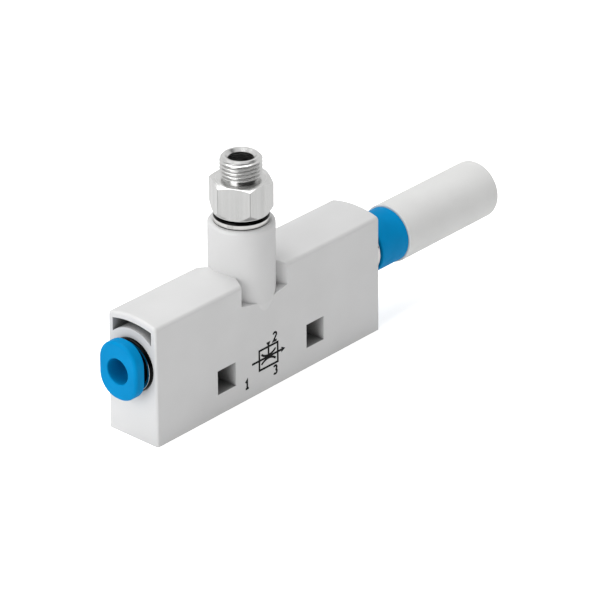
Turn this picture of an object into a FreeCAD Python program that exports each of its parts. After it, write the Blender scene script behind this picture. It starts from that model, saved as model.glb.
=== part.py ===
# Vacuum ejector with push-in supply port, swivelling threaded vacuum port and plug-in silencer.
# Millimetres. +X runs with the air, from the supply end to the exhaust, and +Z is up.
# The origin is on the base, below the axis of the vacuum port.
import FreeCAD, Part
import math
import os

V = FreeCAD.Vector

# Housing, outside
body_length = 75.6
body_width = 15.0            # at the base
body_height = 30.35          # roof ridge above the base
roof_radius = 24.0           # the roof is crowned across its width
side_draft = 0.3             # each side leans in this much on its way up
end_draft = 0.2
roof_edge_radius = 1.1
corner_radius = 0.6
block_end_radius = 0.3       # where the roof stops beside the boss
boss_from_supply_end = 36.1
boss_wall = 1.27             # around the vacuum collar
boss_shoulder_radius = 0.8
boss_foot = 3.0              # the boss fades into the side walls over this height
boss_foot_inset = 0.6        # and narrows by this much while it does
notch_rise = 5.8             # floors beside the boss, above the port axis
notch_fall = 1.75            # the floors fall by this much towards the boss's axis
notch_width = 15.6           # over the four notches beside the boss, at the side walls
notch_angle = 26.0           # their walls lean in to meet the boss
notch_shift = -0.3           # their middle lies this far from the boss's axis

# Housing, windows and end pockets
window_size = 6.0
window_height = 8.2          # middle of the windows above the base
window_spacing = 30.0
side_wall = 1.35
roof_wall = 1.5
pocket_depth = 13.0
barrel_wall = 2.2            # around each push-in collar

# Air way through the housing
port_height = 18.4
tube_diameter = 6.0
stem_diameter = 8.0          # plug-in end of the silencer
hold_depth = 17.0            # how far a tube or a stem goes in
stop_wall = 1.2              # ledge that stops the supply tube
jet_diameter = 7.2
vacuum_bore = 6.0
vacuum_bore_rise = 9.1       # from the port axis to the seat of the stud's stem
receiver_gap = 3.2           # from the vacuum axis to the receiver's mouth
nozzle_reach = 1.0           # the jet's tip passes the vacuum axis by this

# Push-in collars, the same turned sleeve in all three ports
collar_diameter = 12.9
collar_depth = 9.0
supply_collar_proud = 0.8
plug_collar_proud = 1.8      # in the two ports that hold a plugged piece
collar_rim = 0.95            # from the outside to the edge of the countersink
collar_countersink = 1.1
collar_lip = 2.4             # the lip reaches this far below the housing's face
collar_step = 6.4            # depth of the step that carries the grip ring
collar_wall = 0.85
collar_edge = 0.65           # rounding of the rim's outer edge

# Clearances
seat_gap = 0.02              # between pieces that are pressed or laid together
run_gap = 0.08               # around what slides or turns
end_gap = 0.15               # before a moving piece meets its stop
tube_gap = 0.1               # around the supply tube
stud_seat_gap = 0.48         # around the stud's stem, where its seal runs
edge_break = 0.2             # rounding of small turned and moulded edges
stem_edge = 0.3              # rounding at the ends of stems, which leads them in
overshoot = 1.0              # holes and pockets are cut this far past a face
near = 0.001                 # closer than this is the same place

# Release ring
ring_height = 14.2
ring_width = 11.4            # across its two flat sides
ring_corner = 5.4            # rounding of the four corners of its oblong outline
ring_thickness = 2.75
ring_edge_radius = 0.8
ring_mouth_radius = 0.3
ring_shank_wall = 1.2
ring_hook = 0.5              # the hook stands out from the shank by this
ring_hook_length = 0.9
ring_nose = 1.05             # cone past the hook, which opens the grip ring
ring_slot = 0.9
ring_slot_length = 3.15
ring_slots = 4
ring_slot_turn = 45.0        # the slots stand diagonally
ring_nose_wall = 0.5
release_travel = 1.0

# Grip rings, support rings and seals
grip_thickness = 0.3
grip_teeth = 10
grip_slot = 0.6
grip_dish = 0.8              # the teeth lean inwards by this
grip_rim = 0.9
support_land = 0.4           # flat of the support ring inside its cone
seal_length = 2.6
seal_web = 0.55
seal_notch = 1.05            # depth of the notch between the seal's two lips
lip_length = 1.3             # the inner lip touches the tube over this length
lip_start = 0.1
lip_relief = 0.35            # behind the lip the seal stands off the tube by this
groove_width = 1.3           # width of an O-ring's groove, as a multiple of its section

# Nozzles
throat_diameter = 0.7
jet_exit_diameter = 1.1
jet_inlet_diameter = 3.8
jet_tip_diameter = 2.6
jet_waist_diameter = 4.4
jet_shoulder_setback = 1.0   # the thick part stops this far before the vacuum bore
jet_diffuser_length = 3.6    # from the throat to the tip
receiver_throat = 1.8
receiver_mouth = 3.8
receiver_outlet = 5.2
receiver_bell_length = 3.2
receiver_bell_radius = 1.5
receiver_mixing_length = 6.75
nozzle_seal_section = 1.0
nozzle_seal_offset = 2.8     # from each nozzle's outer end to the middle of its seal

# Threaded stud of the vacuum port
hex_across_flats = 13.0
hex_turn = 58.0              # how the hexagon happens to stand, degrees
hex_height = 7.8
hex_top_radius = 6.3         # circle that the top chamfer leaves
hex_top_chamfer = 0.6
hex_bottom_radius = 6.6
hex_bottom_chamfer = 1.5
flange_diameter = 12.9
flange_height = 0.25
flange_gap = 0.35            # open gap between collar and flange
thread_diameter = 9.728      # G 1/8
thread_length = 5.6
thread_chamfer = 0.75
relief_diameter = 8.3
relief_length = 1.0
relief_taper = 0.43          # the thread's last turn runs out over this length
stud_bore = 5.8
stud_countersink = 0.2
neck_diameter = 9.0
stem_seat_length = 4.6       # the stud's sealed stem below the collar
stud_seal_section = 1.35
snap_thickness = 0.8
snap_diameter = 10.8
snap_groove_depth = 0.6
snap_opening = 3.0

# Silencer
silencer_gap = 2.05          # open stretch between the housing and the silencer's collar
silencer_collar_diameter = 13.5
silencer_collar_length = 9.25
silencer_collar_edge = 0.3
silencer_diameter = 14.4
silencer_length = 33.2
silencer_wall = 2.5
silencer_spigot_length = 6.0
silencer_edge_radius = 1.0
silencer_mouth_radius = 0.35
stem_bore = 5.8

# Places worked out from the sizes above
supply_end = -boss_from_supply_end
exhaust_end = body_length - boss_from_supply_end
body_middle = (supply_end + exhaust_end) / 2
collar_radius = collar_diameter / 2
collar_inner = collar_radius - collar_wall
boss_radius = collar_radius + boss_wall
boss_height = port_height + vacuum_bore_rise + stem_seat_length + collar_depth
notch_floor = port_height + notch_rise
tube_radius = tube_diameter / 2
stem_radius = stem_diameter / 2
neck_radius = neck_diameter / 2
shank_radius = tube_radius + tube_gap + ring_shank_wall
hook_radius = shank_radius + ring_hook
grip_seat = collar_step + grip_thickness
jet_radius = jet_diameter / 2
receiver_radius = stem_radius + tube_gap
stud_seat_radius = neck_radius + stud_seat_gap

# A port is a point on the housing's face, the way in, and a side direction
supply_port = (V(supply_end, 0, port_height), V(1, 0, 0), V(0, 0, 1))
exhaust_port = (V(exhaust_end, 0, port_height), V(-1, 0, 0), V(0, 0, 1))
vacuum_port = (V(0, 0, boss_height), V(0, 0, -1), V(1, 0, 0))


def rounded_outline(corners):
    """Closed outline through (depth, radius) corners; a third value rounds that corner."""
    count = len(corners)
    starts, ends, middles = [], [], []
    for i, corner in enumerate(corners):
        here = V(corner[0], corner[1], 0)
        if len(corner) < 3:
            starts.append(here)
            ends.append(here)
            middles.append(None)
            continue
        before = V(*corners[i - 1][:2], 0) - here
        after = V(*corners[(i + 1) % count][:2], 0) - here
        before.normalize()
        after.normalize()
        half = math.acos(max(-1, min(1, before.dot(after)))) / 2
        cut = corner[2] / math.tan(half)
        inward = (before + after).normalize()
        starts.append(here + before * cut)
        ends.append(here + after * cut)
        middles.append(here + inward * (corner[2] / math.sin(half) - corner[2]))
    edges = []
    for i in range(count):
        if middles[i] is not None:
            edges.append(Part.Arc(starts[i], middles[i], ends[i]).toShape())
        following = starts[(i + 1) % count]
        if (following - ends[i]).Length > near:
            edges.append(Part.LineSegment(ends[i], following).toShape())
    return Part.Wire(edges)


def turned(port, corners):
    """Solid of revolution in a port: corners are (depth below the face, radius)."""
    base, inward, side = port
    matrix = FreeCAD.Matrix(
        inward.x, side.x, inward.cross(side).x, base.x,
        inward.y, side.y, inward.cross(side).y, base.y,
        inward.z, side.z, inward.cross(side).z, base.z,
        0, 0, 0, 1)
    outline = rounded_outline(corners)
    outline.Placement = FreeCAD.Placement(matrix)
    solid = Part.Face(outline).revolve(base, inward, 360)
    if solid.Volume < 0:
        solid.reverse()
    return solid


def bored(port, start, end, radius):
    """Plain round hole in a port, from one depth to another."""
    base, inward, side = port
    return Part.makeCylinder(radius, end - start, base + inward * start, inward)


def torus_ring(port, depth, inner_radius, section):
    """O-ring: its section's diameter, and the radius of its hole."""
    base, inward, side = port
    return Part.makeTorus(inner_radius + section / 2, section / 2, base + inward * depth, inward)


def centred_box(x_size, y_size, z_size, centre):
    corner = centre - V(x_size / 2, y_size / 2, z_size / 2)
    return Part.makeBox(x_size, y_size, z_size, corner)


# Housing: one moulding with crowned, drafted block, boss, windows, end pockets and stepped bores
def drafted_block():
    """Block with four flat sides that all lean inwards on their way up."""
    rings = []
    for height in (0, body_height + overshoot):
        lean = height / body_height
        left = supply_end + end_draft * lean
        right = exhaust_end - end_draft * lean
        half = body_width / 2 - side_draft * lean
        rings.append([V(left, -half, height), V(right, -half, height),
                      V(right, half, height), V(left, half, height)])
    low, high = rings
    outlines = [low, high]
    for i in range(4):
        following = (i + 1) % 4
        outlines.append([low[i], low[following], high[following], high[i]])
    faces = [Part.Face(Part.makePolygon(points + points[:1])) for points in outlines]
    block = Part.makeSolid(Part.makeShell(faces))
    if block.Volume < 0:
        block.reverse()
    return block


def along_x(radius, top):
    """Long cylinder along the housing whose highest line is at the given height."""
    start = V(supply_end - overshoot, 0, top - radius)
    return Part.makeCylinder(radius, body_length + 2 * overshoot, start, V(1, 0, 0))


def roof_gap():
    """Space cut out of the roof for the boss: it widens towards both side walls, on sloping floors."""
    slope = math.tan(math.radians(notch_angle))
    corner_y = body_width / 2 + overshoot
    waist = notch_width / 2 - slope * body_width / 2
    corner_x = waist + slope * corner_y
    outline = [
        V(-waist, 0, 0), V(-corner_x, -corner_y, 0), V(corner_x, -corner_y, 0),
        V(waist, 0, 0), V(corner_x, corner_y, 0), V(-corner_x, corner_y, 0)]
    gap = Part.Face(Part.makePolygon(outline + outline[:1])).extrude(V(0, 0, body_height))
    corner_z = notch_fall * (2 * corner_x / notch_width - 1)
    profile = [
        V(0, -corner_y, -notch_fall), V(corner_x, -corner_y, corner_z),
        V(corner_x, -corner_y, body_height), V(-corner_x, -corner_y, body_height),
        V(-corner_x, -corner_y, corner_z)]
    floors = Part.Face(Part.makePolygon(profile + profile[:1])).extrude(V(0, 2 * corner_y, 0))
    gap.translate(V(0, 0, -notch_fall))
    gap = gap.common(floors)
    gap.translate(V(notch_shift, 0, notch_floor))
    return gap


def on_slanted_wall(edge):
    """Whether an edge lies on a wall of the roof gap, away from where two walls meet."""
    slope = math.tan(math.radians(notch_angle))
    waist = notch_width / 2 - slope * body_width / 2
    first, last = edge.Vertexes[0].Point, edge.Vertexes[-1].Point
    off_wall = [
        abs(abs(point.x - notch_shift) - waist - slope * abs(point.y)) for point in (first, last)]
    return max(off_wall) < near and max(abs(first.y), abs(last.y)) > near


def rounded_roof_blocks():
    """The crowned block with the gap for the boss cut out of its roof, and its edges rounded."""
    block = drafted_block().common(along_x(roof_radius, body_height)).cut(roof_gap())
    roof_lines = [
        edge for edge in block.Edges
        if edge.BoundBox.YLength < near and edge.BoundBox.ZLength < near
        and edge.BoundBox.ZMin > notch_floor + near and abs(edge.BoundBox.Center.y) > body_width / 4]
    block = block.makeFillet(roof_edge_radius, roof_lines)
    corners = [
        edge for edge in block.Edges
        if edge.BoundBox.ZMin < near and edge.BoundBox.ZLength > notch_floor]
    block = block.makeFillet(corner_radius, corners)
    block_ends = [
        edge for edge in block.Edges
        if on_slanted_wall(edge) and edge.BoundBox.ZMax > notch_floor + notch_fall]
    return block.makeFillet(block_end_radius, block_ends)


def end_pocket(end, inward):
    """Open space between the port's barrel and the roof."""
    half = body_width / 2 - side_draft - side_wall
    middle = end + inward * (pocket_depth - overshoot) / 2
    space = centred_box(pocket_depth + overshoot, 2 * half, 2 * body_height,
                        V(middle, 0, port_height + body_height))
    space = space.common(along_x(roof_radius - roof_wall, body_height - roof_wall))
    return space.cut(along_x(collar_radius + barrel_wall, port_height + collar_radius + barrel_wall))


def housing():
    shape = rounded_roof_blocks()
    foot_start = boss_height - notch_floor + notch_fall
    boss = turned(vacuum_port, [
        (0, 0), (0, boss_radius, boss_shoulder_radius),
        (foot_start, boss_radius), (foot_start + boss_foot, boss_radius - boss_foot_inset),
        (foot_start + boss_foot, 0)])
    shape = shape.fuse(boss)
    shape = shape.cut(end_pocket(supply_end, 1)).cut(end_pocket(exhaust_end, -1))
    for side in (-1, 1):
        centre = V(body_middle + side * window_spacing / 2, 0, window_height)
        shape = shape.cut(centred_box(window_size, 2 * body_width, window_size, centre))
    seat = collar_radius + seat_gap
    seal_end = collar_depth + seal_length
    jet_seat_start = hold_depth + stop_wall
    jet_seat_end = boss_from_supply_end + receiver_gap
    receiver_seat_end = exhaust_end - receiver_gap
    for cutter in (
            bored(supply_port, -overshoot, collar_depth, seat),
            bored(supply_port, 0, seal_end, collar_inner),
            bored(supply_port, 0, hold_depth, tube_radius + tube_gap),
            bored(supply_port, 0, jet_seat_start + overshoot, jet_inlet_diameter / 2),
            bored(supply_port, jet_seat_start, jet_seat_end, jet_radius),
            bored(exhaust_port, -overshoot, collar_depth, seat),
            bored(exhaust_port, 0, seal_end, collar_inner),
            bored(exhaust_port, 0, receiver_seat_end, receiver_radius),
            bored(vacuum_port, -overshoot, collar_depth, seat),
            bored(vacuum_port, 0, collar_depth + stem_seat_length, stud_seat_radius),
            bored(vacuum_port, 0, boss_height - port_height, vacuum_bore / 2)):
        shape = shape.cut(cutter)
    return shape.removeSplitter()


# Push-in collar: nickel-plated turned sleeve with a countersunk mouth and a lip inside
def push_in_collar(port, proud, mouth_radius, throat_radius):
    rim = collar_radius - collar_rim
    return turned(port, [
        (collar_depth, collar_radius), (-proud, collar_radius, collar_edge),
        (-proud, rim), (collar_countersink - proud, mouth_radius),
        (collar_lip, mouth_radius), (collar_lip, throat_radius),
        (collar_step, throat_radius), (collar_step, collar_inner), (collar_depth, collar_inner)])


def supply_collar():
    mouth = shank_radius + run_gap
    return push_in_collar(supply_port, supply_collar_proud, mouth, hook_radius + run_gap)


def exhaust_collar():
    mouth = stem_radius + tube_gap
    return push_in_collar(exhaust_port, plug_collar_proud, mouth, mouth + ring_hook)


def vacuum_collar():
    mouth = neck_radius + run_gap
    return push_in_collar(vacuum_port, plug_collar_proud, mouth, mouth + ring_hook)


# Release ring: moulded oblong disc, and a slotted shank that hooks behind the collar's lip
def ring_head(front, hole):
    """The disc, from this depth inwards, with its rounded edges and the tube's hole."""
    base, inward, side = supply_port
    across = side.cross(inward)
    matrix = FreeCAD.Matrix(
        across.x, side.x, inward.x, base.x + front,
        across.y, side.y, inward.y, base.y,
        across.z, side.z, inward.z, base.z,
        0, 0, 0, 1)
    half_width = ring_width / 2
    half_height = ring_height / 2
    outline = rounded_outline([
        (-half_width, -half_height, ring_corner), (half_width, -half_height, ring_corner),
        (half_width, half_height, ring_corner), (-half_width, half_height, ring_corner)])
    outline.Placement = FreeCAD.Placement(matrix)
    head = Part.Face(outline).extrude(inward * ring_thickness)
    for depth, radius in ((front, ring_edge_radius), (front + ring_thickness, edge_break)):
        place = base.x + depth
        rim = [edge for edge in head.Edges if all(abs(v.X - place) < near for v in edge.Vertexes)]
        head = head.makeFillet(radius, rim)
    head = head.cut(bored(supply_port, front - overshoot, front + ring_thickness + overshoot, hole))
    mouth = [edge for edge in head.Edges
             if edge.BoundBox.XMax < base.x + front + near and edge.BoundBox.YLength < 2 * hole + near]
    return head.makeFillet(ring_mouth_radius, mouth)


def supply_release_ring():
    hole = tube_radius + tube_gap
    back = -supply_collar_proud - release_travel - end_gap
    hook = collar_lip + end_gap
    nose = hook + ring_hook_length + ring_nose
    shank = turned(supply_port, [
        (back, hole), (back, shank_radius), (hook, shank_radius),
        (hook, hook_radius), (hook + ring_hook_length, hook_radius),
        (nose, hole + ring_nose_wall), (nose, hole)])
    ring = ring_head(back - ring_thickness, hole).fuse(shank).removeSplitter()
    for i in range(ring_slots):
        slot = centred_box(ring_slot_length + overshoot, ring_slot, 2 * hook_radius,
                           V(supply_end + nose + (overshoot - ring_slot_length) / 2,
                             0, port_height + hole / 2 + hook_radius))
        slot.rotate(V(supply_end, 0, port_height), V(1, 0, 0), ring_slot_turn + i * 360 / ring_slots)
        ring = ring.cut(slot)
    return ring


# Grip ring: dished spring-steel washer with slotted teeth that bite the tube
def grip_ring(port, held_radius):
    outer = collar_inner - seat_gap
    root = outer - grip_rim
    tip = held_radius + run_gap
    ring = turned(port, [
        (collar_step, outer), (collar_step, root),
        (collar_step + grip_dish, tip), (grip_seat + grip_dish, tip),
        (grip_seat, root), (grip_seat, outer)])
    base, inward, side = port
    middle = (root + held_radius) / 2
    for i in range(grip_teeth):
        slot = centred_box(4 * grip_dish, grip_slot, root - held_radius,
                           base + inward * (collar_step + grip_dish / 2) + V(0, 0, middle))
        slot.rotate(base, inward, i * 360 / grip_teeth)
        ring = ring.cut(slot)
    return ring


def supply_grip_ring():
    return grip_ring(supply_port, tube_radius)


def exhaust_grip_ring():
    return grip_ring(exhaust_port, stem_radius)


# Support ring: turned ring that backs the teeth and closes the seal's chamber
def support_ring(port, held_radius):
    outer = collar_inner - seat_gap
    hole = held_radius + tube_gap
    land = grip_seat + grip_dish + support_land
    return turned(port, [
        (grip_seat, outer), (grip_seat, outer - grip_rim / 2),
        (land, hole + support_land), (land, hole),
        (collar_depth, hole), (collar_depth, outer)])


def supply_support_ring():
    return support_ring(supply_port, tube_radius)


def exhaust_support_ring():
    return support_ring(exhaust_port, stem_radius)


# Lip seal behind each grip ring, moulded in nitrile rubber
def lip_seal(port, held_radius):
    outer = collar_inner - seat_gap
    start = collar_depth
    end = collar_depth + seal_length
    waist = (outer + held_radius) / 2
    lip = held_radius + seat_gap
    return turned(port, [
        (start, outer), (start, waist + seal_web / 2), (start + seal_notch, waist),
        (start + lip_start, lip + seal_web / 2), (start + lip_start, lip),
        (start + lip_length, lip + lip_relief), (end, lip + lip_relief), (end, outer)])


def supply_tube_seal():
    return lip_seal(supply_port, tube_radius)


def exhaust_stem_seal():
    return lip_seal(exhaust_port, stem_radius)


# Jet nozzle: turned aluminium, narrows to a throat and opens again before its tip
def jet_nozzle():
    start = hold_depth + stop_wall
    shoulder = boss_from_supply_end - vacuum_bore / 2 - jet_shoulder_setback
    tip = boss_from_supply_end + nozzle_reach
    throat = tip - jet_diffuser_length
    outer = jet_radius - seat_gap
    groove = jet_radius - nozzle_seal_section
    seal = start + nozzle_seal_offset
    half = nozzle_seal_section * groove_width / 2
    return turned(supply_port, [
        (start, jet_inlet_diameter / 2), (start, outer, edge_break),
        (seal - half, outer), (seal - half, groove), (seal + half, groove), (seal + half, outer),
        (shoulder, outer, edge_break), (shoulder, jet_waist_diameter / 2), (tip, jet_tip_diameter / 2),
        (tip, jet_exit_diameter / 2), (throat, throat_diameter / 2)])


def jet_nozzle_seal():
    depth = hold_depth + stop_wall + nozzle_seal_offset
    inner = jet_radius - nozzle_seal_section
    return torus_ring(supply_port, depth, inner + seat_gap / 2, nozzle_seal_section - seat_gap)


# Receiver nozzle: moulded acetal, bell mouth, straight mixing throat and long diffuser
def receiver_nozzle():
    mouth = exhaust_end - receiver_gap
    outer = receiver_radius - seat_gap
    groove = receiver_radius - nozzle_seal_section
    seal = mouth - nozzle_seal_offset
    half = nozzle_seal_section * groove_width / 2
    throat = mouth - receiver_bell_length
    mixing_end = throat - receiver_mixing_length
    return turned(exhaust_port, [
        (hold_depth, receiver_outlet / 2), (mixing_end, receiver_throat / 2),
        (throat, receiver_throat / 2, receiver_bell_radius), (mouth, receiver_mouth / 2),
        (mouth, outer, edge_break),
        (seal + half, outer), (seal + half, groove), (seal - half, groove), (seal - half, outer),
        (hold_depth, outer, edge_break)])


def receiver_nozzle_seal():
    depth = exhaust_end - receiver_gap - nozzle_seal_offset
    inner = receiver_radius - nozzle_seal_section
    return torus_ring(exhaust_port, depth, inner + seat_gap / 2, nozzle_seal_section - seat_gap)


# Threaded stud: one nickel-plated turning with thread, hexagon, polished flange, neck and sealed stem
flange_bottom = -plug_collar_proud - flange_gap
flange_top = flange_bottom - flange_height
hex_top = flange_top - hex_height
thread_top = hex_top - thread_length
snap_groove = collar_step + 2 * end_gap
stud_seal_depth = collar_depth + stem_seat_length / 2
snap_groove_radius = neck_radius - snap_groove_depth


def chamfered_hexagon():
    corner = hex_across_flats / math.sqrt(3)
    base, inward, side = vacuum_port
    points = []
    for i in range(7):
        angle = math.radians(60 * i + hex_turn)
        points.append(base + inward * hex_top + V(corner * math.cos(angle), corner * math.sin(angle), 0))
    prism = Part.Face(Part.makePolygon(points)).extrude(inward * hex_height)
    envelope = turned(vacuum_port, [
        (hex_top, 0), (hex_top, hex_top_radius), (hex_top + hex_top_chamfer, corner + near),
        (flange_top - hex_bottom_chamfer, corner + near), (flange_top, hex_bottom_radius),
        (flange_top, 0)])
    return prism.common(envelope)


def vacuum_stud():
    thread = thread_diameter / 2
    relief = relief_diameter / 2
    bore = stud_bore / 2
    seal_groove = stud_seat_radius - stud_seal_section
    half = stud_seal_section * groove_width / 2
    stem_end = collar_depth + stem_seat_length - 2 * end_gap
    body = turned(vacuum_port, [
        (thread_top, bore + stud_countersink), (thread_top, thread - thread_chamfer),
        (thread_top + thread_chamfer, thread), (hex_top - relief_length, thread),
        (hex_top - relief_length + relief_taper, relief), (hex_top, relief),
        (flange_top, relief), (flange_top, flange_diameter / 2),
        (flange_bottom, flange_diameter / 2), (flange_bottom, neck_radius),
        (snap_groove, neck_radius), (snap_groove, snap_groove_radius),
        (snap_groove + snap_thickness, snap_groove_radius), (snap_groove + snap_thickness, neck_radius),
        (stud_seal_depth - half, neck_radius), (stud_seal_depth - half, seal_groove),
        (stud_seal_depth + half, seal_groove), (stud_seal_depth + half, neck_radius),
        (stem_end, neck_radius, stem_edge), (stem_end, bore), (thread_top + stud_countersink, bore)])
    inside_wall = (relief + bore) / 2
    core = bored(vacuum_port, hex_top - overshoot, flange_top + overshoot, inside_wall)
    return body.fuse(chamfered_hexagon().cut(core))


def vacuum_stud_seal():
    inner = stud_seat_radius - stud_seal_section
    return torus_ring(vacuum_port, stud_seal_depth, inner + seat_gap / 2, stud_seal_section - run_gap)


# Snap ring: open wire ring in the stem's groove, behind the collar's step
def vacuum_snap_ring():
    inner = snap_groove_radius + seat_gap
    outer = snap_diameter / 2
    start = snap_groove + seat_gap
    end = snap_groove + snap_thickness - seat_gap
    ring = turned(vacuum_port, [(start, inner), (start, outer), (end, outer), (end, inner)])
    base, inward, side = vacuum_port
    opening = centred_box(snap_diameter, snap_opening, 4 * snap_thickness,
                          base + inward * snap_groove + side * (outer + inner / 2))
    return ring.cut(opening)


# Silencer: blue collar with plug-in stem and spigot, and a closed porous sleeve pressed on it
def silencer_collar():
    front = -silencer_gap
    back = front - silencer_collar_length
    spigot_end = back - silencer_spigot_length
    outer = silencer_collar_diameter / 2
    spigot = silencer_diameter / 2 - silencer_wall - seat_gap
    stem = stem_radius - seat_gap
    bore = stem_bore / 2
    return turned(exhaust_port, [
        (hold_depth, bore), (hold_depth, stem, stem_edge), (front, stem),
        (front, outer, silencer_collar_edge), (back, outer, silencer_collar_edge), (back, spigot),
        (spigot_end, spigot, stem_edge), (spigot_end, bore)])


def silencer_sleeve():
    start = -silencer_gap - silencer_collar_length
    end = start - silencer_length
    outer = silencer_diameter / 2
    inner = outer - silencer_wall
    return turned(exhaust_port, [
        (start, inner), (start, outer, silencer_mouth_radius), (end, outer, silencer_edge_radius), (end, 0),
        (end + silencer_wall, 0), (end + silencer_wall, inner)])


nodes = (
    housing, supply_collar, supply_release_ring, supply_grip_ring, supply_support_ring,
    supply_tube_seal, jet_nozzle, jet_nozzle_seal, receiver_nozzle, receiver_nozzle_seal,
    vacuum_collar, vacuum_stud, vacuum_stud_seal, vacuum_snap_ring,
    exhaust_collar, exhaust_grip_ring, exhaust_support_ring, exhaust_stem_seal,
    silencer_collar, silencer_sleeve)

os.makedirs("parts", exist_ok=True)
for node in nodes:
    shape = node()
    solids = shape.Solids
    print(node.__name__, len(solids), "solid", round(shape.Volume, 2), shape.isValid())
    shape = solids[0] if len(solids) == 1 else Part.Compound(solids)
    shape.exportStep("parts/" + node.__name__ + ".step")
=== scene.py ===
import math
import bmesh
import bpy
from mathutils import Matrix, Vector


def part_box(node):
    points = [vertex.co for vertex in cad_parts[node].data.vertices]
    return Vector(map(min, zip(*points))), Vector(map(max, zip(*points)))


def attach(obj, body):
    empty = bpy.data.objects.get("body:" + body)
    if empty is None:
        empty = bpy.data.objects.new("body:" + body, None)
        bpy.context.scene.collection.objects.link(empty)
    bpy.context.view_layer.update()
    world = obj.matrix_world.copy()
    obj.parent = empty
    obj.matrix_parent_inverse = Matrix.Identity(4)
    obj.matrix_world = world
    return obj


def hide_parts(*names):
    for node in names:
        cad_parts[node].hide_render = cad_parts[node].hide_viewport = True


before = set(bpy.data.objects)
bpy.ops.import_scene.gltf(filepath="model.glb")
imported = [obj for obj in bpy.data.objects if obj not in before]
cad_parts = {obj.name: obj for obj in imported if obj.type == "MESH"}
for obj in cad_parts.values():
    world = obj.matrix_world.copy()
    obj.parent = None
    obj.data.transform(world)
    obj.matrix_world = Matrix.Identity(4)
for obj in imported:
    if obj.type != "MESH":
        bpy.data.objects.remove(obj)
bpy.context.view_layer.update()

mm = 0.001

# Camera: a long lens a little under a metre away, looking down on the supply end and the printed side.
# It stands on the line through its aim point, turned and raised by these angles.
camera_turn = math.radians(-48.435)
camera_rise = math.radians(27.352)
camera_distance = 870 * mm
camera_aim = Vector((9.423, -9.229, 19.936)) * mm
towards_camera = Vector((math.sin(camera_turn) * math.cos(camera_rise),
                         -math.cos(camera_turn) * math.cos(camera_rise), math.sin(camera_rise)))
lens = bpy.data.cameras.new("camera")
lens.lens = 229.88
lens.sensor_width = 36
lens.clip_start = 10 * mm
lens.clip_end = 20
camera = bpy.data.objects.new("camera", lens)
camera.location = camera_aim + towards_camera * camera_distance
camera.rotation_euler = towards_camera.to_track_quat("Z", "Y").to_euler()
bpy.context.scene.collection.objects.link(camera)
bpy.context.scene.camera = camera
bpy.context.scene.view_settings.view_transform = "Standard"


def colour(code):
    """Linear colour of an sRGB hex value such as #8090a0."""
    parts = [int(code[i:i + 2], 16) / 255 for i in (1, 3, 5)]
    return [p / 12.92 if p <= 0.04045 else ((p + 0.055) / 1.055) ** 2.4 for p in parts] + [1]


def add(tree, kind, settings=None, links=None):
    """Adds a node: settings are properties or unlinked sockets, links are sockets that feed it."""
    made = tree.nodes.new(kind)
    for name, value in (settings or {}).items():
        if isinstance(name, int) or name in made.inputs:
            made.inputs[name].default_value = value
        else:
            setattr(made, name, value)
    for name, source in (links or {}).items():
        tree.links.new(source, made.inputs[name])
    return made


# Studio: pale floor and white surroundings, a wide lamp overhead and one at the supply end. The
# metal mirrors a white tent that is open on the camera's side, which gives it its dark bands.

# An edge is the two angles in degrees between which that part of the tent fades in. The mirrored
# strengths are what metal shows, and the light ones are what falls on the object.
open_side = (-0.60, -0.80, 0)
open_side_edge = (102, 78)
roof_edge = (148, 136)
far_side = (0.3, 1, 0.1)
far_side_edge = (85, 40)
tent_mirrored = 0.95
opening_mirrored = 0.04
tent_light = 0.62
opening_light = 0.46
far_side_light = 0.08
floor_seen = 0.6
floor_bounce = 0.30
floor_half_width = 3
floor_drop = 0.02 * mm


def blend(tree, factor, low, high):
    """Value between low and high, which are numbers or sockets."""
    made = add(tree, "ShaderNodeMix", {"data_type": "FLOAT"}, {"Factor": factor})
    for name, value in (("A", low), ("B", high)):
        if isinstance(value, (int, float)):
            made.inputs[name].default_value = value
        else:
            tree.links.new(value, made.inputs[name])
    return made.outputs[0]


def facing(tree, direction, towards, start, end):
    """0 to 1 as a direction turns towards another one; start and end are angles in degrees."""
    aim = Vector(towards).normalized()
    toward = add(tree, "ShaderNodeVectorMath", {"operation": "DOT_PRODUCT", 1: aim}, {0: direction})
    made = add(tree, "ShaderNodeMapRange",
               {"interpolation_type": "SMOOTHSTEP", "From Min": math.cos(math.radians(start)),
                "From Max": math.cos(math.radians(end))}, {"Value": toward.outputs["Value"]})
    return made.outputs[0]


world = bpy.data.worlds.new("studio")
world.use_nodes = True
bpy.context.scene.world = world
tree = world.node_tree
sky = tree.nodes["Background"]
sky.inputs["Color"].default_value = colour("#ffffff")
direction = add(tree, "ShaderNodeTexCoord").outputs["Generated"]
path = add(tree, "ShaderNodeLightPath")
level = add(tree, "ShaderNodeVectorMath", {"operation": "MULTIPLY", 1: (1, 1, 0)}, {0: direction})
level = add(tree, "ShaderNodeVectorMath", {"operation": "NORMALIZE"}, {0: level.outputs[0]})
opening = facing(tree, level.outputs[0], open_side, *open_side_edge)
under_roof = facing(tree, direction, (0, 0, -1), *roof_edge)
opening = add(tree, "ShaderNodeMath", {"operation": "MULTIPLY"}, {0: opening, 1: under_roof}).outputs[0]
mirrored = blend(tree, opening, tent_mirrored, opening_mirrored)
behind = facing(tree, direction, far_side, *far_side_edge)
light = blend(tree, behind, blend(tree, opening, tent_light, opening_light), far_side_light)
seen = blend(tree, path.outputs["Is Glossy Ray"], light, mirrored)
plain = add(tree, "ShaderNodeMath", {"operation": "MAXIMUM"},
            {0: path.outputs["Is Camera Ray"], 1: path.outputs["Is Transmission Ray"]})
tree.links.new(blend(tree, plain.outputs[0], seen, 1.0), sky.inputs["Strength"])

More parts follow.
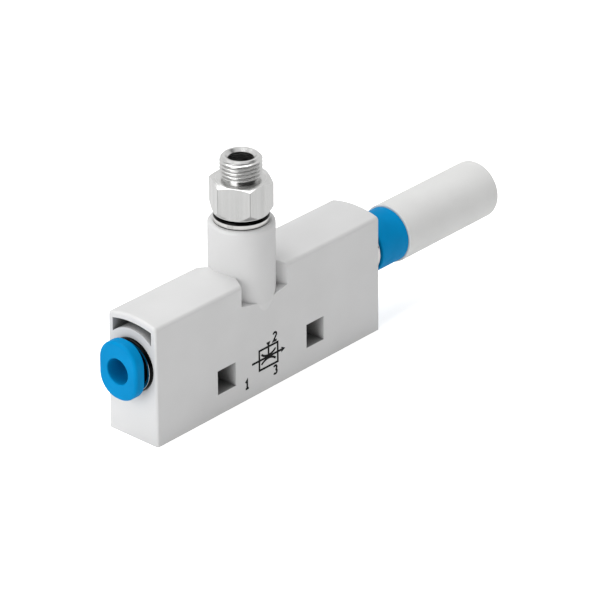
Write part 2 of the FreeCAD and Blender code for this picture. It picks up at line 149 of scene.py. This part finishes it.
floor_paint = bpy.data.materials.new("floor_paint")
floor_paint.use_nodes = True
tree = floor_paint.node_tree
paint = tree.nodes["Principled BSDF"]
paint.inputs["Base Color"].default_value = colour("#e8e8e8")
paint.inputs["Roughness"].default_value = 0.9
paint.inputs["Specular IOR Level"].default_value = 0.0
paint.inputs["Emission Color"].default_value = colour("#ffffff")
path = add(tree, "ShaderNodeLightPath")
glow = blend(tree, path.outputs["Is Diffuse Ray"], 0.0, floor_bounce)
tree.links.new(blend(tree, path.outputs["Is Camera Ray"], glow, floor_seen),
               paint.inputs["Emission Strength"])

floor_mesh = bpy.data.meshes.new("floor")
shape = bmesh.new()
bmesh.ops.create_grid(shape, x_segments=1, y_segments=1, size=floor_half_width)
bmesh.ops.translate(shape, verts=shape.verts, vec=(0, 0, -floor_drop))
shape.to_mesh(floor_mesh)
shape.free()
floor = bpy.data.objects.new("floor", floor_mesh)
floor_mesh.materials.append(floor_paint)
bpy.context.scene.collection.objects.link(floor)


def lamp(name, place, size, power):
    """Square soft lamp aimed at the middle of the object: place and size in metres, power in watts."""
    light = bpy.data.lights.new(name, "AREA")
    light.size = size
    light.energy = power
    made = bpy.data.objects.new(name, light)
    made.location = place
    made.rotation_euler = (Vector(place) - camera_aim).to_track_quat("Z", "Y").to_euler()
    bpy.context.scene.collection.objects.link(made)


lamp("overhead_lamp", (0.0, 0.25, 0.9), size=0.75, power=6.6)
lamp("supply_end_lamp", (-0.9, 0.05, 0.35), size=0.7, power=5.2)


# Housing: one injection moulding in light-grey glass-filled polyester. Its tool was spark eroded, so
# the skin is matt with a fine grain. The grain is drawn coarser than the real one, so that it shows.
def new_material(name):
    """New material with its node tree and its shader."""
    made = bpy.data.materials.new(name)
    made.use_nodes = True
    return made, made.node_tree, made.node_tree.nodes["Principled BSDF"]


def finish(node, material):
    """Gives a CAD node its material, with any painted shade in it."""
    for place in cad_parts[node].material_slots:
        place.material = material


def grain(tree, shader, size, height, detail=3.0):
    """Moulded or cast skin: bumps of this size and height, the same on every side."""
    place = add(tree, "ShaderNodeTexCoord")
    noise = add(tree, "ShaderNodeTexNoise", {"Scale": 1 / size, "Detail": detail, "Roughness": 0.6},
                {"Vector": place.outputs["Object"]})
    bump = add(tree, "ShaderNodeBump", {"Strength": 1.0, "Distance": height},
               {"Height": noise.outputs[0]})
    tree.links.new(bump.outputs[0], shader.inputs["Normal"])
    return place.outputs["Object"], noise.outputs[0]


def tint(tree, shader, place, patch, dark, light):
    """Faint uneven colour, in soft patches of this size, between two colours."""
    cloud = add(tree, "ShaderNodeTexNoise", {"Scale": 1 / patch, "Detail": 2.0}, {"Vector": place})
    ramp = add(tree, "ShaderNodeValToRGB", {}, {"Fac": cloud.outputs[0]})
    ramp.color_ramp.elements[0].position = 0.35
    ramp.color_ramp.elements[0].color = colour(dark)
    ramp.color_ramp.elements[1].position = 0.65
    ramp.color_ramp.elements[1].color = colour(light)
    tree.links.new(ramp.outputs[0], shader.inputs["Base Color"])


def roughen(tree, shader, pattern, low, high):
    """Roughness between low and high that follows a pattern, whose values lie mostly from 0.3 to 0.7."""
    span = add(tree, "ShaderNodeMapRange",
               {"From Min": 0.3, "From Max": 0.7, "To Min": low, "To Max": high}, {"Value": pattern})
    tree.links.new(span.outputs[0], shader.inputs["Roughness"])


grey_polyester, tree, shader = new_material("grey_glass_filled_polyester")
place, skin = grain(tree, shader, size=0.28 * mm, height=0.006 * mm)
tint(tree, shader, place, 14 * mm, "#c8c8c8", "#cccccc")
roughen(tree, shader, skin, low=0.42, high=0.56)
shader.inputs["IOR"].default_value = 1.55

# Painted shade: hollows are painted darker than the skin, and the windows' sills, where no light falls in
# from above, most. The painted shade starts where less than a certain share of the surroundings is open,
# which differs between the windows' level and the pockets and notches above it, and so does the darkest
# shade.
above_windows = 20 * mm
window_level = 14 * mm
upward_edge = (60, 30)
hollow_reach = 10 * mm
deepest_hollow = 0.06
pocket_starts = 0.34
window_starts = 0.46
sill_starts = 1.1
pocket_shade = 0.25
window_shade = 0.06
height = add(tree, "ShaderNodeSeparateXYZ", {}, {0: place}).outputs["Z"]
in_window = add(tree, "ShaderNodeMapRange", {"From Min": above_windows, "From Max": window_level},
                {"Value": height}).outputs[0]
upward = facing(tree, add(tree, "ShaderNodeTexCoord").outputs["Normal"], (0, 0, 1), *upward_edge)
sill = add(tree, "ShaderNodeMath", {"operation": "MULTIPLY"}, {0: in_window, 1: upward}).outputs[0]
cavity = add(tree, "ShaderNodeAmbientOcclusion",
             {"samples": 8, "only_local": True, "Distance": hollow_reach})
starts = blend(tree, sill, blend(tree, in_window, pocket_starts, window_starts), sill_starts)
shade = blend(tree, in_window, pocket_shade, window_shade)
depth = add(tree, "ShaderNodeMapRange", {"From Min": deepest_hollow, "To Max": 1.0},
            {"Value": cavity.outputs["AO"], "From Max": starts, "To Min": shade})
# The base colour is scaled down here: painted shade.
shade_painted_colour = add(tree, "ShaderNodeVectorMath", {"operation": "SCALE"},
               {0: shader.inputs["Base Color"].links[0].from_socket, "Scale": depth.outputs[0]})
tree.links.new(shade_painted_colour.outputs[0], shader.inputs["Base Color"])
finish("housing", grey_polyester)


# Printed circuit symbol: black pad-printed ink on the side that faces the camera. It shows the air
# line through the ejector between its two curves, the vacuum line from above, and the ports' numbers.
# Its places are millimetres along the side and up it, and the side leans in towards the roof.
side_lean = 0.3
side_height = 30.35
side_at_base = 7.5
ink_line = 0.55
ink_film = 0.015
symbol_middle = 0.7
symbol_height = 8.3
frame_half_width = 3.12
frame_half_height = 2.5
line_start = -4.9
line_end = 6.4
arrow_length = 1.35
arrow_half = 0.72
curve_radius = 3.5
curve_gap = 0.35
curve_half_span = 2.4
vacuum_line_top = 12.0
digit_height = 2.1
port_numbers = (("1", -6.6, 2.95), ("2", 2.9, 11.5), ("3", 2.9, 2.95))

up_side = Vector((0, side_lean, side_height)).normalized()
out_of_side = Vector((0, -side_height, side_lean)).normalized()
side_face = Matrix((
    (1, 0, 0, 0),
    (0, up_side.y, out_of_side.y, -side_at_base),
    (0, up_side.z, out_of_side.z, 0),
    (0, 0, 0, 1)))
to_metres = Matrix.Scale(mm, 4)

# The ink is a thin film, black and nearly matt.
ink, tree, shader = new_material("black_pad_ink")
place, skin = grain(tree, shader, size=0.12 * mm, height=0.002 * mm)
tint(tree, shader, place, 1.5 * mm, "#020202", "#060606")
roughen(tree, shader, skin, low=0.45, high=0.6)
shader.inputs["Specular IOR Level"].default_value = 0.15


def to_piece(shape, name, material, body, angle=30):
    """Turns a bmesh into a finished piece, with sharp edges above this angle."""
    limit = math.radians(angle)
    for face in shape.faces:
        face.smooth = True
    for edge in shape.edges:
        edge.smooth = len(edge.link_faces) == 2 and edge.calc_face_angle() < limit
    mesh = bpy.data.meshes.new(name)
    shape.to_mesh(mesh)
    shape.free()
    mesh.materials.append(material)
    made = bpy.data.objects.new(name, mesh)
    bpy.context.scene.collection.objects.link(made)
    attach(made, body)
    return made


def ink_band(shape, points, width, closed=False):
    """Printed line of even width through the points, with square ends and mitred corners."""
    points = [Vector(point) for point in points]
    count = len(points)
    sides = []
    for i, point in enumerate(points):
        before = points[i - 1] if i > 0 or closed else point
        after = points[(i + 1) % count] if i < count - 1 or closed else point
        arriving = (point - before).normalized() if point != before else (after - point).normalized()
        leaving = (after - point).normalized() if point != after else arriving
        middle = (arriving + leaving).normalized()
        across = Vector((-middle.y, middle.x)) * width / 2 / middle.dot(arriving)
        sides.append([shape.verts.new((point + side * across).to_3d()) for side in (-1, 1)])
    for i in range(count if closed else count - 1):
        (a, b), (c, d) = sides[i], sides[(i + 1) % count]
        shape.faces.new((a, c, d, b))


def arc(centre, radius, start, end, steps=14):
    """Points on a circle, from one angle to another in degrees."""
    angles = [math.radians(start + (end - start) * i / steps) for i in range(steps + 1)]
    return [(centre[0] + radius * math.cos(angle), centre[1] + radius * math.sin(angle))
            for angle in angles]


def ink_arrow(shape, tip, direction):
    """Filled arrowhead with its tip at a point."""
    tip, direction = Vector(tip), Vector(direction)
    across = direction.orthogonal() * arrow_half
    back = tip - direction * arrow_length
    corners = [shape.verts.new(point.to_3d()) for point in (tip, back + across, back - across)]
    shape.faces.new(corners)


def print_on_side(shape, name):
    """Gives flat print its film thickness and lays it on the leaning side."""
    bmesh.ops.recalc_face_normals(shape, faces=shape.faces)
    for face in [face for face in shape.faces if face.normal.z < 0]:
        face.normal_flip()
    faces = shape.faces[:]
    raised = bmesh.ops.extrude_face_region(shape, geom=faces)["geom"]
    tops = [item for item in raised if isinstance(item, bmesh.types.BMVert)]
    bmesh.ops.translate(shape, verts=tops, vec=(0, 0, ink_film))
    bmesh.ops.reverse_faces(shape, faces=faces)
    bmesh.ops.recalc_face_normals(shape, faces=shape.faces)
    bmesh.ops.transform(shape, verts=shape.verts, matrix=to_metres @ side_face)
    to_piece(shape, name, ink, "ejector_housing")


symbol = bmesh.new()
left = symbol_middle - frame_half_width
right = symbol_middle + frame_half_width
low = symbol_height - frame_half_height
high = symbol_height + frame_half_height
ink_band(symbol, ((left, low), (right, low), (right, high), (left, high)), ink_line, closed=True)
ink_band(symbol, ((line_start, symbol_height), (line_end - arrow_length, symbol_height)), ink_line)
ink_arrow(symbol, (line_end, symbol_height), (1, 0))
arrow_tip = (symbol_middle, vacuum_line_top - arrow_length)
ink_band(symbol, (arrow_tip, (symbol_middle, symbol_height)), ink_line)
ink_arrow(symbol, arrow_tip, (0, -1))
curve_half = math.degrees(math.asin(curve_half_span / curve_radius))
for side in (1, -1):
    centre = (symbol_middle, symbol_height + side * (curve_gap + curve_radius))
    ink_band(symbol, arc(centre, curve_radius, -side * 90 - curve_half, -side * 90 + curve_half), ink_line)
print_on_side(symbol, "printed_symbol")

# Numerals are strokes on a grid of a quarter of their height, which is also the radius of their bowls.
bowl = digit_height / 4
numerals = {
    "1": (((-bowl, 3 * bowl), (0, 4 * bowl - 0.02), (0, 0)), ((-bowl, 0), (bowl, 0))),
    "2": (arc((0, 3 * bowl), bowl, 170, -35) + [(-bowl, 0), (1.1 * bowl, 0)],),
    "3": (arc((0, 3 * bowl), bowl, 150, -75), arc((0, 1.05 * bowl), 1.05 * bowl, 85, -150))}
for digit, across, baseline in port_numbers:
    figure = bmesh.new()
    for stroke in numerals[digit]:
        ink_band(figure, stroke, ink_line)
    bmesh.ops.translate(figure, verts=figure.verts, vec=(across, baseline, 0))
    print_on_side(figure, "port_number_" + digit)


# Nozzles: the jet is turned aluminium, pressed in from the vacuum side, and the receiver is moulded
# acetal. Each is sealed by a black nitrile O-ring in its groove.
def turned_marks(tree, shader, centre, axis, spacing, height):
    """Fine rings of a lathe tool around an axis through centre: axis is 0 for X or 2 for Z."""
    across = [1, 1, 1]
    across[axis] = 0
    along = [1 - value for value in across]
    place = add(tree, "ShaderNodeTexCoord")
    moved = add(tree, "ShaderNodeMapping", {"Location": [-value for value in centre]},
                {"Vector": place.outputs["Object"]})
    flat = add(tree, "ShaderNodeVectorMath", {"operation": "MULTIPLY", 1: across}, {0: moved.outputs[0]})
    radius = add(tree, "ShaderNodeVectorMath", {"operation": "LENGTH"}, {0: flat.outputs[0]})
    depth = add(tree, "ShaderNodeVectorMath", {"operation": "DOT_PRODUCT", 1: along}, {0: moved.outputs[0]})
    sweep = add(tree, "ShaderNodeMath", {"operation": "ADD"},
                {0: radius.outputs["Value"], 1: depth.outputs["Value"]})
    ripple = add(tree, "ShaderNodeTexNoise",
                 {"noise_dimensions": "1D", "Scale": 1 / spacing, "Detail": 2.0}, {"W": sweep.outputs[0]})
    bump = add(tree, "ShaderNodeBump", {"Strength": 1.0, "Distance": height}, {"Height": ripple.outputs[0]})
    tree.links.new(bump.outputs[0], shader.inputs["Normal"])
    return place.outputs["Object"], ripple.outputs[0]


port_height = 18.4 * mm
port_axis = (0, 0, port_height)

# Turned aluminium is silky and pale, with rings left by the lathe tool.
aluminium, tree, shader = new_material("turned_aluminium")
place, rings = turned_marks(tree, shader, port_axis, 0, spacing=0.10 * mm, height=0.001 * mm)
tint(tree, shader, place, 3 * mm, "#cdcfd2", "#dcdde0")
roughen(tree, shader, rings, low=0.22, high=0.38)
shader.inputs["Metallic"].default_value = 1.0
finish("jet_nozzle", aluminium)

# Natural acetal is milky white and smooth, and lets a little light in.
acetal, tree, shader = new_material("natural_acetal")
place, skin = grain(tree, shader, size=0.35 * mm, height=0.002 * mm)
tint(tree, shader, place, 5 * mm, "#e6e5df", "#edece7")
roughen(tree, shader, skin, low=0.25, high=0.35)
shader.inputs["IOR"].default_value = 1.48
shader.inputs["Subsurface Weight"].default_value = 0.1
shader.inputs["Subsurface Radius"].default_value = (0.5 * mm, 0.5 * mm, 0.4 * mm)
shader.inputs["Subsurface Scale"].default_value = 1.0
finish("receiver_nozzle", acetal)

# Nitrile rubber is black and dull.
nitrile, tree, shader = new_material("black_nitrile_rubber")
place, skin = grain(tree, shader, size=0.1 * mm, height=0.003 * mm)
tint(tree, shader, place, 2 * mm, "#161616", "#1f1f1f")
roughen(tree, shader, skin, low=0.55, high=0.75)
shader.inputs["IOR"].default_value = 1.52
for name in ("jet_nozzle_seal", "receiver_nozzle_seal", "supply_tube_seal", "exhaust_stem_seal",
             "vacuum_stud_seal"):
    finish(name, nitrile)


# Supply port: nickel-plated sleeve pressed into the housing, spring-steel grip ring, brass support
# ring, and the blue acetal release ring that is pressed to let the tube go. The sleeve's rounded rim
# is painted dark all the way round: painted shade.
painted_rim_shade_radius = 6.08 * mm
painted_shade_edge = 0.03 * mm


def polished_nickel(name, centre, axis):
    """Bright nickel plate over turned brass, with faint tool rings under the plate."""
    made, tree, shader = new_material(name)
    place, rings = turned_marks(tree, shader, centre, axis, spacing=0.12 * mm, height=0.0004 * mm)
    tint(tree, shader, place, 2 * mm, "#d6d5d3", "#dfdedc")
    roughen(tree, shader, rings, low=0.07, high=0.14)
    shader.inputs["Metallic"].default_value = 1.0
    return made, tree, shader


def paint_shade_beyond(tree, shader, distance, start):
    """Paints shade: turns the surface dark where a distance is larger than start."""
    band = add(tree, "ShaderNodeMapRange", {"From Min": start - painted_shade_edge, "From Max": start + painted_shade_edge},
               {"Value": distance})
    bright = shader.inputs["Base Color"].links[0].from_socket
    # The near-black colour mixed in here is painted shade.
    shade_painted = add(tree, "ShaderNodeMix", {"data_type": "RGBA", 7: colour("#141414")},
                   {0: band.outputs[0], 6: bright})
    tree.links.new(shade_painted.outputs[2], shader.inputs["Base Color"])


def from_port_axis(tree, place):
    """Distance from the axis of the two push-in ports."""
    moved = add(tree, "ShaderNodeVectorMath", {"operation": "SUBTRACT", 1: port_axis}, {0: place})
    across = add(tree, "ShaderNodeVectorMath", {"operation": "MULTIPLY", 1: (0, 1, 1)},
                 {0: moved.outputs[0]})
    length = add(tree, "ShaderNodeVectorMath", {"operation": "LENGTH"}, {0: across.outputs[0]})
    return length.outputs["Value"]


finish("exhaust_collar", polished_nickel("polished_nickel_plate", port_axis, 0)[0])

# The sleeve's rim gets a band of painted shade.
nickel_with_painted_rim_shade, tree, shader = polished_nickel("nickel_plate_with_painted_rim_shade", port_axis, 0)
place = add(tree, "ShaderNodeTexCoord").outputs["Object"]
paint_shade_beyond(tree, shader, from_port_axis(tree, place), painted_rim_shade_radius)
finish("supply_collar", nickel_with_painted_rim_shade)


def blue_acetal(name):
    """Bright blue moulded acetal with a satin skin, which hardly shines."""
    made, tree, shader = new_material(name)
    place, skin = grain(tree, shader, size=0.30 * mm, height=0.004 * mm)
    tint(tree, shader, place, 6 * mm, "#007eb6", "#0084be")
    roughen(tree, shader, skin, low=0.42, high=0.52)
    shader.inputs["IOR"].default_value = 1.48
    shader.inputs["Specular IOR Level"].default_value = 0.04
    return made, tree, shader


# The shank behind the disc stands in the shade of the sleeve's mouth, and that shade is painted on it in
# black.
disc_thickness = 2.75 * mm
hole_wall_radius = 3.6 * mm
shaded_blue, tree, shader = blue_acetal("blue_acetal_with_painted_shank_shade")
place = add(tree, "ShaderNodeTexCoord").outputs["Object"]
disc_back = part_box("supply_release_ring")[0].x + disc_thickness
behind_disc = add(tree, "ShaderNodeMath", {"operation": "GREATER_THAN", 1: disc_back},
                  {0: add(tree, "ShaderNodeSeparateXYZ", {}, {0: place}).outputs["X"]})
shaded = add(tree, "ShaderNodeMath", {"operation": "MULTIPLY"},
             {0: behind_disc.outputs[0], 1: from_port_axis(tree, place)})
paint_shade_beyond(tree, shader, shaded.outputs[0], hole_wall_radius)
finish("supply_release_ring", shaded_blue)
finish("silencer_collar", blue_acetal("blue_acetal")[0])

# Stamped spring steel is greyer and duller than the plated sleeves.
spring_steel, tree, shader = new_material("stamped_spring_steel")
place, rings = turned_marks(tree, shader, port_axis, 0, spacing=0.15 * mm, height=0.001 * mm)
tint(tree, shader, place, 3 * mm, "#a9a8a4", "#bab9b4")
roughen(tree, shader, rings, low=0.22, high=0.36)
shader.inputs["Metallic"].default_value = 1.0
for name in ("supply_grip_ring", "exhaust_grip_ring", "vacuum_snap_ring"):
    finish(name, spring_steel)

# Turned brass is warm yellow, with fine tool rings.
brass, tree, shader = new_material("turned_brass")
place, rings = turned_marks(tree, shader, port_axis, 0, spacing=0.12 * mm, height=0.001 * mm)
tint(tree, shader, place, 3 * mm, "#c9a253", "#d8b264")
roughen(tree, shader, rings, low=0.2, high=0.34)
shader.inputs["Metallic"].default_value = 1.0
finish("supply_support_ring", brass)
finish("exhaust_support_ring", brass)


# Vacuum port: a second sleeve stands in the boss, with a painted dark reflection on its rim and a thin
# painted shadow seam where it comes out, and the stud plugs into it. The stud is one turned piece of
# nickel-plated brass: G 1/8 thread, relief groove, hexagon, flange, neck and sealed stem.
painted_rim_reflection_height = 0.68 * mm
painted_seam_shadow_height = 0.17 * mm
upright_nickel_with_painted_dark_bands, tree, shader = polished_nickel("upright_nickel_plate_with_painted_dark_bands", (0, 0, 0), 2)
place = add(tree, "ShaderNodeTexCoord").outputs["Object"]
height = add(tree, "ShaderNodeSeparateXYZ", {}, {0: place}).outputs["Z"]
# Painted dark reflection along the top of the rim.
paint_shade_beyond(tree, shader, height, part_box("vacuum_collar")[1].z - painted_rim_reflection_height)
# Painted shadow along the seam where the sleeve leaves the boss.
downward = add(tree, "ShaderNodeMath", {"operation": "MULTIPLY", 1: -1}, {0: height})
paint_shade_beyond(tree, shader, downward.outputs[0], -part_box("housing")[1].z - painted_seam_shadow_height)
finish("vacuum_collar", upright_nickel_with_painted_dark_bands)

# The stud's sizes are in millimetres, and it is made metres when its shape is done.
stem_end, stud_tip = (corner.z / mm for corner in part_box("vacuum_stud"))
threaded_length = 4.6
shank_length = 5.6
hex_height = 7.8
flange_thickness = 0.25
thread_pitch = 0.907
thread_crest = 4.864
thread_depth = 0.581
thread_end_face = 4.114
thread_rows = 120
steps_per_turn = 144
relief_radius = 4.15
relief_taper = 0.43
thread_start = stud_tip - threaded_length - relief_taper
hex_across_flats = 13.0
hex_turn = math.radians(58)
hex_top = stud_tip - shank_length
hex_top_radius = 6.3
hex_top_chamfer = 0.6
hex_bottom = hex_top - hex_height
hex_bottom_radius = 6.6
hex_bottom_chamfer = 1.5
flange_radius = 6.45
flange_bottom = hex_bottom - flange_thickness
neck_radius = 4.5
bore_radius = 2.9
countersink = 0.7
stem_edge = 0.3
snap_groove_top = 34.4
snap_groove_height = 0.8
snap_groove_radius = 3.9
seal_groove_middle = 29.8
seal_groove_height = 1.755
seal_groove_radius = 3.63
hex_edge_break = 0.07
crease_angle = math.radians(20)
near_enough = 0.01
merge_distance = 1e-4


def thread_radius(angle, height):
    """Radius of the thread, trimmed by the chamfer at its end and the run-out above the relief."""
    turned = height / thread_pitch - angle / (2 * math.pi)
    form = thread_crest - thread_depth * (1 - math.cos(2 * math.pi * turned)) / 2
    run_out = relief_radius + (thread_crest - relief_radius) * (height - thread_start) / relief_taper
    return min(form, thread_end_face + stud_tip - height, run_out), height


def hex_side(angle):
    """Distance from the axis to the hexagon's side, in this direction."""
    return hex_across_flats / 2 / math.cos((angle - hex_turn) % (math.pi / 3) - math.pi / 6)


def hex_chamfered(angle, circle, edge, inwards, reach):
    """Corner of the hexagon where a cone from this circle trims it."""
    radius = hex_side(angle)
    corner = hex_across_flats / math.sqrt(3)
    rise = max(0, radius - circle) / (corner - circle) * reach
    return radius, edge + inwards * rise


def ring_of(radius, height):
    """Plain circle of the outline: the same radius in every direction."""
    return lambda angle: (radius, height)


# The outline runs from the hole's mouth down the bore, up the outside and along the thread to the tip.
snap_groove_bottom = snap_groove_top - snap_groove_height
seal_groove_top = seal_groove_middle + seal_groove_height / 2
seal_groove_bottom = seal_groove_middle - seal_groove_height / 2
outline = [
    ring_of(bore_radius + countersink, stud_tip),
    ring_of(bore_radius, stud_tip - countersink),
    ring_of(bore_radius, stem_end),
    ring_of(neck_radius - stem_edge, stem_end),
    ring_of(neck_radius, stem_end + stem_edge),
    ring_of(neck_radius, seal_groove_bottom),
    ring_of(seal_groove_radius, seal_groove_bottom),
    ring_of(seal_groove_radius, seal_groove_top),
    ring_of(neck_radius, seal_groove_top),
    ring_of(neck_radius, snap_groove_bottom),
    ring_of(snap_groove_radius, snap_groove_bottom),
    ring_of(snap_groove_radius, snap_groove_top),
    ring_of(neck_radius, snap_groove_top),
    ring_of(neck_radius, flange_bottom),
    ring_of(flange_radius, flange_bottom),
    ring_of(flange_radius, hex_bottom),
    lambda angle: (min(hex_bottom_radius, hex_side(angle)), hex_bottom),
    lambda angle: hex_chamfered(angle, hex_bottom_radius, hex_bottom, 1, hex_bottom_chamfer),
    lambda angle: hex_chamfered(angle, hex_top_radius, hex_top, -1, hex_top_chamfer),
    ring_of(hex_top_radius, hex_top),
    ring_of(relief_radius, hex_top)]
for i in range(thread_rows + 1):
    row = thread_start + (stud_tip - thread_start) * i / thread_rows
    outline.append(lambda angle, row=row: thread_radius(angle, row))
outline.append(outline[0])
turning = bmesh.new()
circle = bmesh.ops.create_circle(turning, segments=steps_per_turn, radius=1)["verts"]
bmesh.ops.rotate(turning, verts=circle, cent=(0, 0, 0), matrix=Matrix.Rotation(hex_turn, 3, "Z"))
edges = turning.edges[:]
for number, ring in enumerate(outline):
    if number > 0:
        made = bmesh.ops.extrude_edge_only(turning, edges=edges)["geom"]
        circle = [item for item in made if isinstance(item, bmesh.types.BMVert)]
        fresh = set(circle)
        edges = [item for item in made if isinstance(item, bmesh.types.BMEdge) and set(item.verts) <= fresh]
    for vert in circle:
        angle = math.atan2(vert.co.y, vert.co.x)
        radius, height = ring(angle)
        vert.co = (radius * math.cos(angle), radius * math.sin(angle), height)
bmesh.ops.remove_doubles(turning, verts=turning.verts, dist=merge_distance)

# The hexagon's upright corners are slightly rounded, and get the stud's second material, which paints a
# dark reflection on them.
hex_edges = [
    edge for edge in turning.edges
    if len(edge.link_faces) == 2 and edge.calc_face_angle() > crease_angle
    and min(math.hypot(v.co.x, v.co.y) for v in edge.verts) > hex_top_radius - near_enough
    and min(v.co.z for v in edge.verts) > hex_bottom - near_enough]
upright_edges = [
    edge for edge in hex_edges if (edge.verts[0].co - edge.verts[1].co).xy.length < near_enough]
bmesh.ops.bevel(turning, geom=upright_edges, offset=hex_edge_break, affect="EDGES", segments=2,
                profile=0.5, material=1)
bmesh.ops.recalc_face_normals(turning, faces=turning.faces)

# Its flats get the third material.
for face in turning.faces:
    upright = abs(face.normal.z) < near_enough
    from_axis = face.calc_center_median().xy.length
    if face.material_index == 0 and upright and from_axis > flange_radius:
        face.material_index = 2
bmesh.ops.transform(turning, verts=turning.verts, matrix=to_metres)

# Nickel plate over turned brass is warm white metal, softened by fine tool rings.
satin_nickel, tree, shader = new_material("satin_nickel_plate")
place, rings = turned_marks(tree, shader, (0, 0, 0), 2, spacing=0.14 * mm, height=0.0008 * mm)
tint(tree, shader, place, 3 * mm, "#c7c7c6", "#d0d0cf")
roughen(tree, shader, rings, low=0.20, high=0.28)
shader.inputs["Metallic"].default_value = 1.0
stud = to_piece(turning, "threaded_stud", satin_nickel, "threaded_stud")

# Along the corners it is duller, and painted darker: a painted dark reflection.
corner_nickel_with_painted_reflection, tree, shader = new_material("nickel_edge_with_painted_dark_reflection")
place, rings = turned_marks(tree, shader, (0, 0, 0), 2, spacing=0.14 * mm, height=0.0008 * mm)
tint(tree, shader, place, 3 * mm, "#868685", "#949493")
roughen(tree, shader, rings, low=0.3, high=0.4)
shader.inputs["Metallic"].default_value = 1.0
stud.data.materials.append(corner_nickel_with_painted_reflection)

# The hexagon's flats are those of the drawn bar that the stud is turned from, with marks along the bar.
# The marks are drawn wider than the real ones, so that they show.
streak_width = 0.5 * mm
streak_height = 0.0008 * mm
streak_stretch = (1, 1, 0.02)
drawn_nickel, tree, shader = new_material("nickel_plate_on_drawn_flats")
place = add(tree, "ShaderNodeTexCoord").outputs["Object"]
stretched = add(tree, "ShaderNodeMapping", {"Scale": streak_stretch}, {"Vector": place}).outputs[0]
streaks = add(tree, "ShaderNodeTexNoise", {"Scale": 1 / streak_width, "Detail": 3.0},
              {"Vector": stretched}).outputs[0]
bump = add(tree, "ShaderNodeBump", {"Strength": 1.0, "Distance": streak_height}, {"Height": streaks})
tree.links.new(bump.outputs[0], shader.inputs["Normal"])
tint(tree, shader, stretched, 1.2 * mm, "#cacac9", "#d3d3d2")
roughen(tree, shader, streaks, low=0.21, high=0.29)
shader.inputs["Metallic"].default_value = 1.0
stud.data.materials.append(drawn_nickel)
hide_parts("vacuum_stud")
finish("vacuum_stud", satin_nickel)


# Silencer: the blue collar plugs into the exhaust port, and the sleeve on it is sintered from
# polyethylene beads, so its light-grey skin is matt and finely pitted.
porous, tree, shader = new_material("sintered_polyethylene")
place, beads = grain(tree, shader, size=0.22 * mm, height=0.02 * mm, detail=1.0)
tint(tree, shader, place, 8 * mm, "#d1d1d0", "#d4d4d3")
roughen(tree, shader, beads, low=0.6, high=0.8)
shader.inputs["IOR"].default_value = 1.5
finish("silencer_sleeve", porous)
